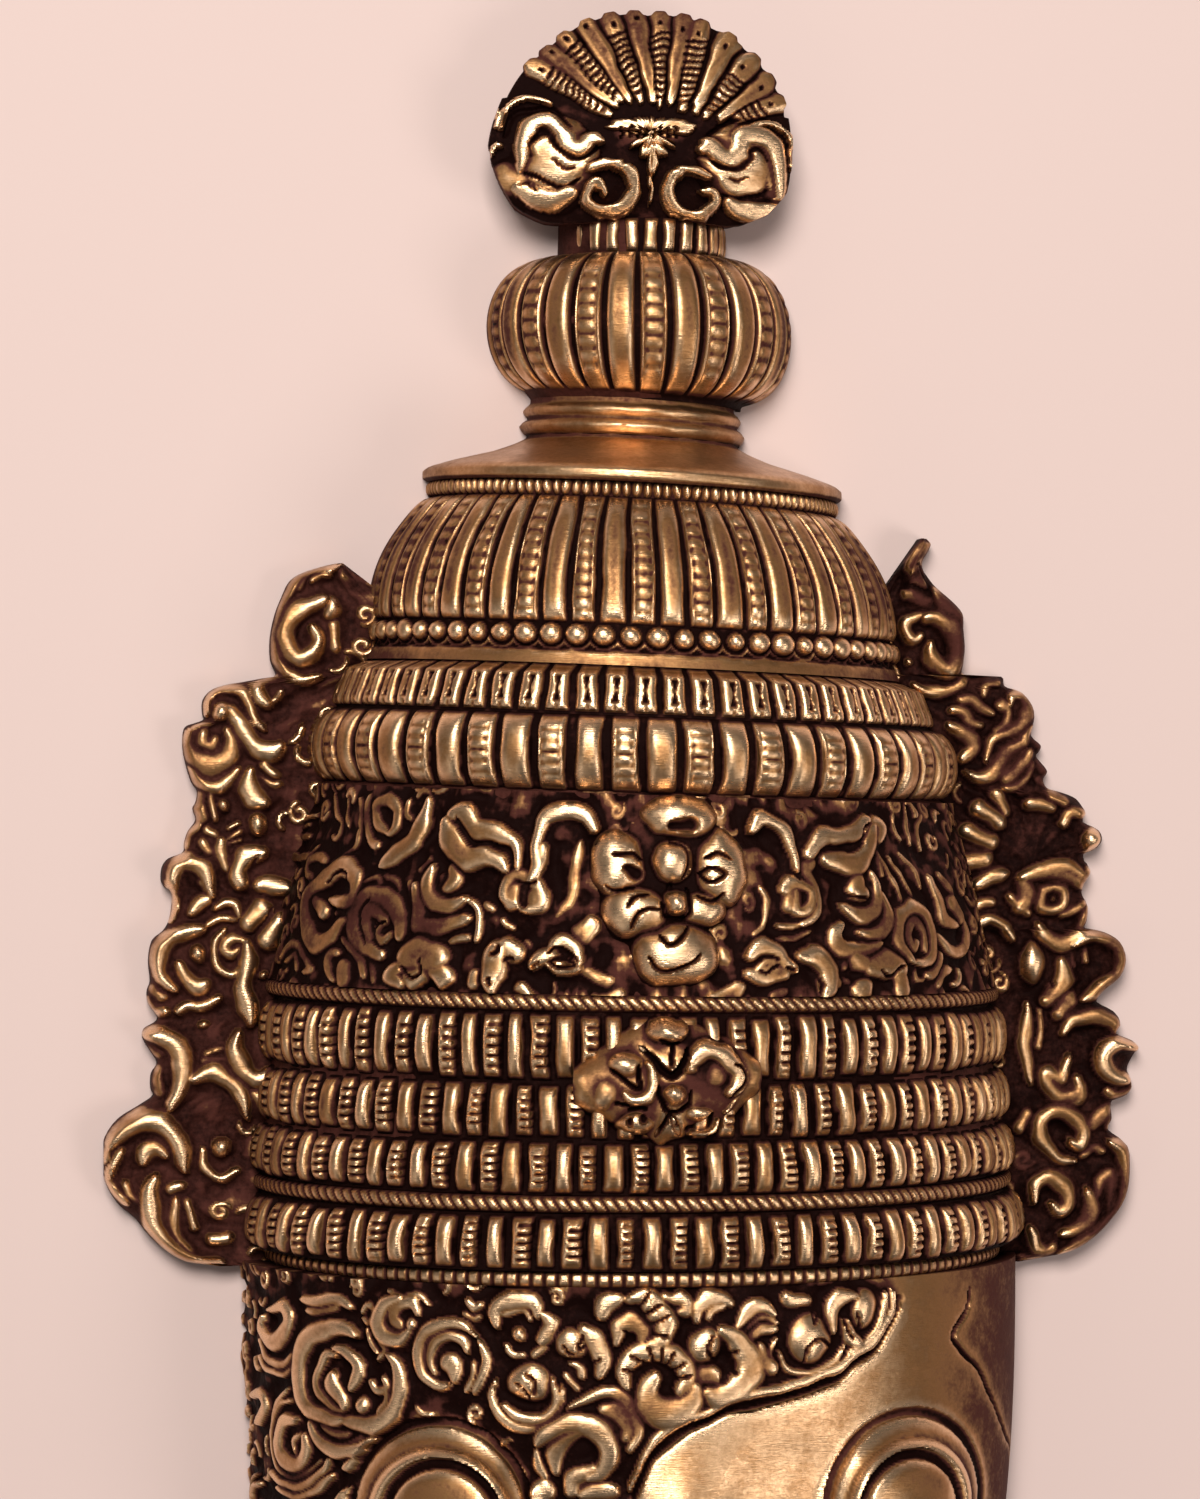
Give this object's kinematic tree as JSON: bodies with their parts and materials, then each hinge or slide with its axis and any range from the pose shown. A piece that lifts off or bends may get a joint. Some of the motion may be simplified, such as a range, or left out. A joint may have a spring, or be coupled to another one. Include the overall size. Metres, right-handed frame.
{
  "type": "deity mask",
  "caption": "Hollow cast brass mask of a calm idol face under a tall tiered crown with carved side wings and a fan finial, lying on its open back.",
  "frame": {"origin": "in the plane that the rim rests on, under the middle of the mask's bounding box", "axes": "+X to the mask's right as seen from the front, +Y from chin to crown tip, +Z out of the face"},
  "size_m": [0.2314, 0.444, 0.0804],
  "materials": {
    "brass": "antique: polished on the raised work, dark purple-brown patina in the recesses"
  },
  "bodies": {
    "root": {"mask": "brass"}
  },
  "joints": []
}
